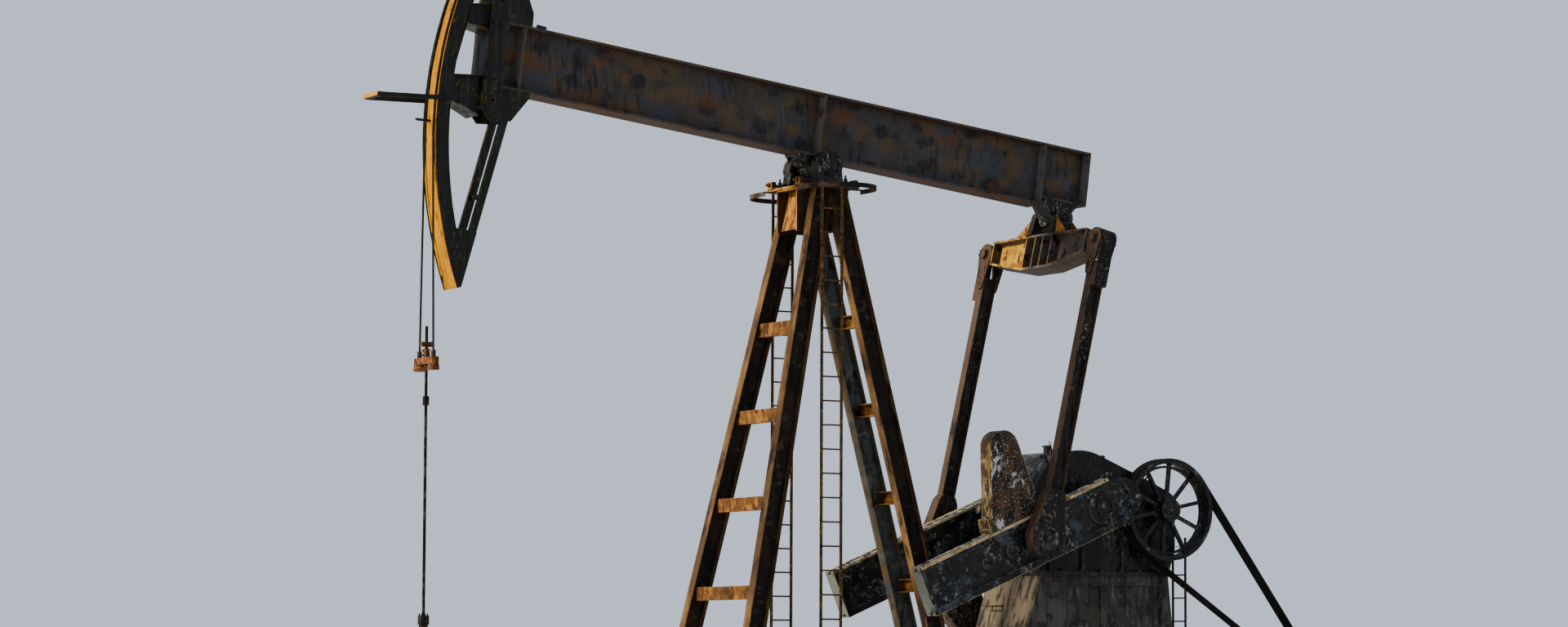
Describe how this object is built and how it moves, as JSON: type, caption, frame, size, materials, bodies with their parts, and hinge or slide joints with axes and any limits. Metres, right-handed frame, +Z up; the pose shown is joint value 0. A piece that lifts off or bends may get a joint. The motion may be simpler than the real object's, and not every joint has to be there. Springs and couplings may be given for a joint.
{
  "type": "pumpjack",
  "caption": "Beam pumping unit with horsehead, walking beam, A-frame post, crank-balanced gearbox drive, belt sheave and wellhead; rocks on its saddle bearing.",
  "frame": {"origin": "on the ground, straight below the saddle bearing, in the middle of the base frame's width", "axes": "+X from the saddle towards the gearbox and motor, +Y to the far side, +Z up; the well is at -X"},
  "size_m": [13.9546, 2.886, 10.5174],
  "materials": {
    "base_steel": "matt paint over rust",
    "rusted_leg_steel": "dark rust with worn orange edges",
    "grey_leg_steel": "worn grey paint over rust",
    "brace_rust": "orange-brown rust",
    "greasy_casting": "oily black casting with grey flaking",
    "ladder_steel": "thin tan rust",
    "pedestal_paint": "worn grey paint with oil streaks",
    "motor_paint": "dull paint with dust",
    "belt_rubber": "dull rubber",
    "wellhead_steel": "oily dark paint",
    "beam_steel": "mottled grey-brown paint with rust clouds",
    "yellow_paint": "weathered yellow-orange paint",
    "oily_head_steel": "black-olive paint with oil streaks",
    "wire_rope": "greased wire rope",
    "equalizer_rust": "rusty ochre paint",
    "pitman_steel": "dark brown rust",
    "crank_paint": "near-black paint flaked to grey",
    "weight_paint": "dark brown paint with pale flaking",
    "sheave_casting": "black oily iron",
    "rod_steel": "oiled steel"
  },
  "bodies": {
    "frame": {"base_rail_near": "base_steel", "base_rail_far": "base_steel", "base_cross_members": "base_steel", "front_leg_near": "rusted_leg_steel", "front_leg_far": "rusted_leg_steel", "rear_leg_near": "rusted_leg_steel", "rear_leg_far": "grey_leg_steel", "front_braces": "brace_rust", "rear_braces": "brace_rust", "post_head": "rusted_leg_steel", "saddle_bearings": "greasy_casting", "ladder_near": "ladder_steel", "ladder_far": "ladder_steel", "ladder_hoops": "ladder_steel", "pedestal": "pedestal_paint", "pedestal_ladders": "ladder_steel", "gearbox_case": "greasy_casting", "gearbox_cover": "greasy_casting", "motor_stand": "base_steel", "motor": "motor_paint", "motor_pulley": "greasy_casting", "drive_belts": "belt_rubber", "wellhead": "wellhead_steel"},
    "beam": {"walking_beam": "beam_steel", "beam_stiffeners": "beam_steel", "saddle_shaft": "greasy_casting", "tail_bracket": "beam_steel", "head_face": "yellow_paint", "head_side_near": "oily_head_steel", "head_side_far": "oily_head_steel", "head_post": "oily_head_steel", "head_struts": "oily_head_steel", "head_guard": "yellow_paint", "bridle_wrap": "wire_rope"},
    "equalizer": {"equalizer_beam": "equalizer_rust", "pitman_near": "pitman_steel", "pitman_far": "pitman_steel"},
    "cranks": {"crank_near": "crank_paint", "crank_far": "crank_paint", "weight_near": "weight_paint", "weight_far": "weight_paint", "crank_shaft": "greasy_casting"},
    "sheave": {"belt_sheave": "sheave_casting", "brake_drum": "sheave_casting"},
    "hanger": {"bridle_drop": "wire_rope", "carrier_bar": "brace_rust", "polished_rod": "rod_steel"}
  },
  "joints": [
    {"name": "beam_rock", "type": "hinge", "parent": "frame", "child": "beam", "pos_m": [0, 0, 7.48], "axis": [0, 1, 0], "range_deg": [-25.5, 8.8]},
    {"name": "equalizer_swing", "type": "hinge", "parent": "beam", "child": "equalizer", "pos_m": [3.67242, 0, 7.02908], "axis": [0, 1, 0], "range_deg": [-10, 27]},
    {"name": "crank_spin", "type": "hinge", "parent": "frame", "child": "cranks", "pos_m": [3.709, 0, 3.2], "axis": [0, 1, 0], "continuous": true},
    {"name": "sheave_spin", "type": "hinge", "parent": "frame", "child": "sheave", "pos_m": [4.94, 0, 3.2], "axis": [0, 1, 0], "continuous": true},
    {"name": "hanger_slide", "type": "slide", "parent": "frame", "child": "hanger", "axis": [0, 0, 1], "range_m": [-2.45, 0.86]}
  ],
  "couplings": [
    {"joint": "equalizer_swing", "follows": "beam_rock", "ratio": -1},
    {"joint": "hanger_slide", "follows": "beam_rock", "m_per_rad": 5.4143},
    {"joint": "sheave_spin", "follows": "crank_spin", "ratio": 28}
  ]
}
